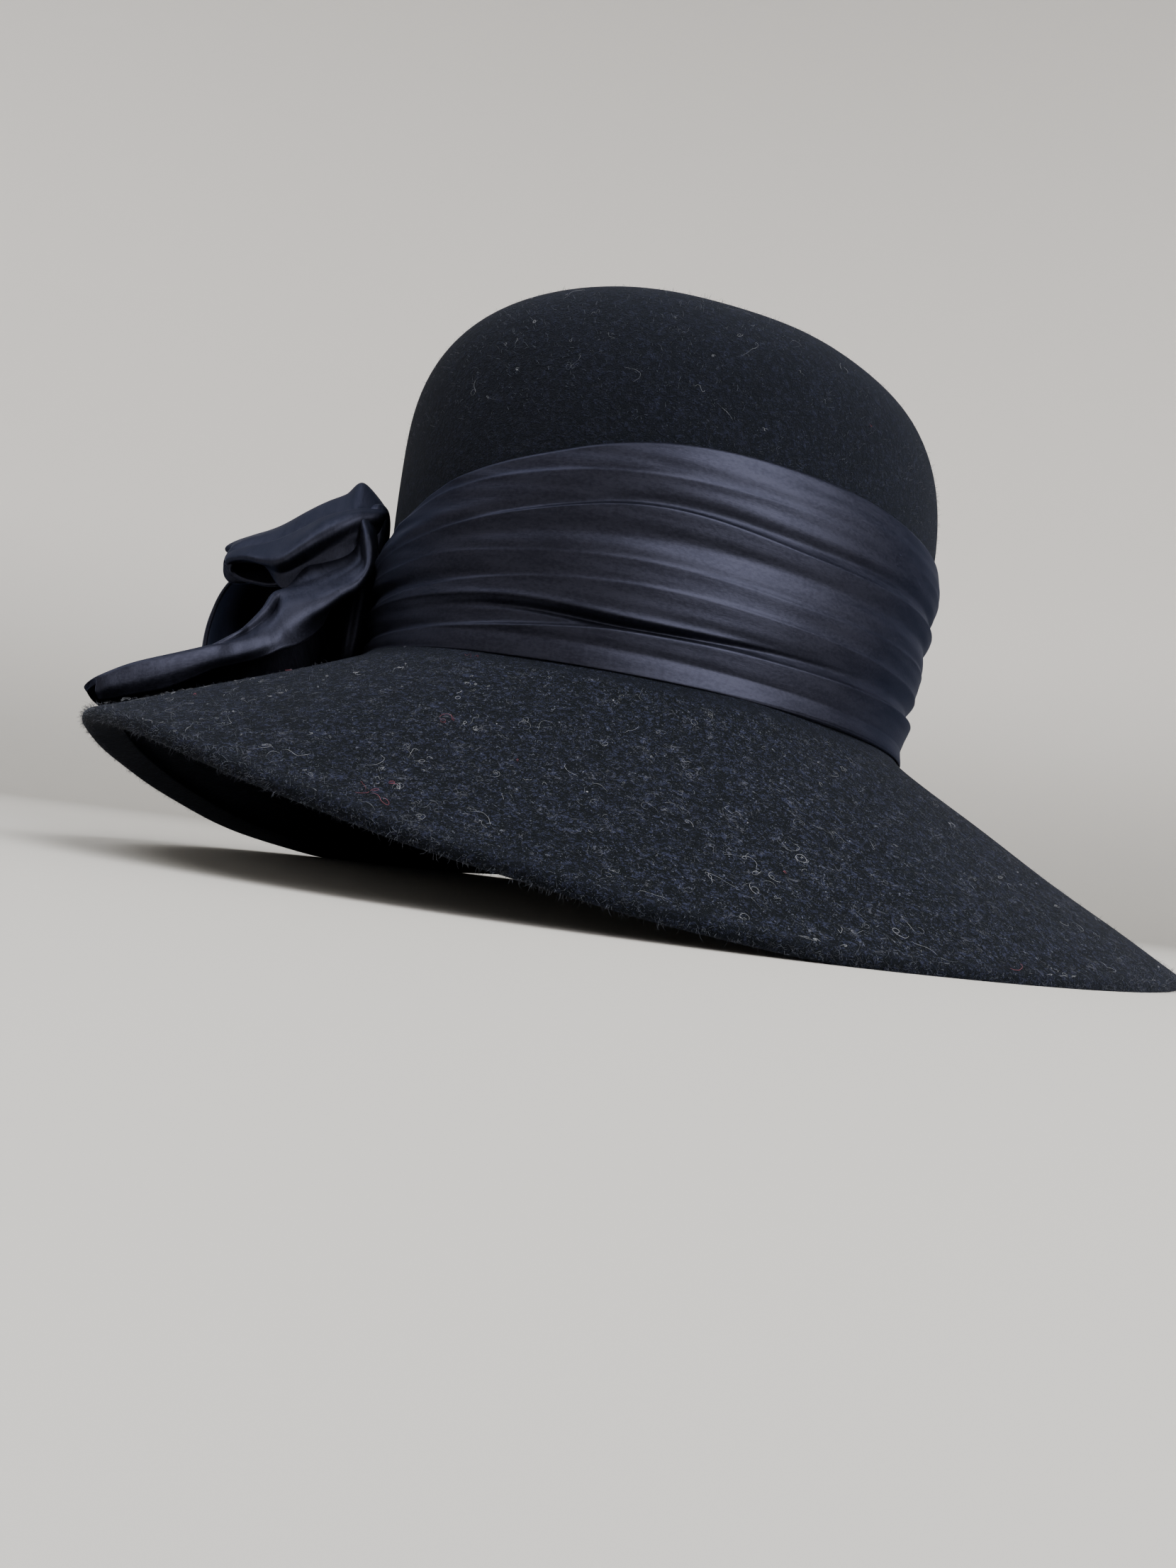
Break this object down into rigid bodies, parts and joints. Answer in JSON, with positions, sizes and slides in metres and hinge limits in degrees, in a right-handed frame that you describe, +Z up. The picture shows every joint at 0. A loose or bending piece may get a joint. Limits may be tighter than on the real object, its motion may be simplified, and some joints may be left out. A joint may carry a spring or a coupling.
{
  "type": "wide-brim hat",
  "caption": "Wide-brim felt hat with a rounded crown, a draped satin band in soft folds and a satin bow at the front right.",
  "frame": {"origin": "middle of the hat's overall length and width, at the surface it rests on", "axes": "+Z up, -Y towards the front of the hat, +X towards the wearer's left"},
  "size_m": [0.3602, 0.3842, 0.1968],
  "materials": {
    "felt": "matt brushed wool felt, near black with a little navy",
    "satin": "dark violet-navy satin with a soft sheen"
  },
  "bodies": {
    "root": {"felt_body": "felt", "satin_band": "satin", "bow_knot": "satin", "bow_loop_upper": "satin", "bow_loop_rear": "satin", "bow_tail": "satin"}
  },
  "joints": []
}
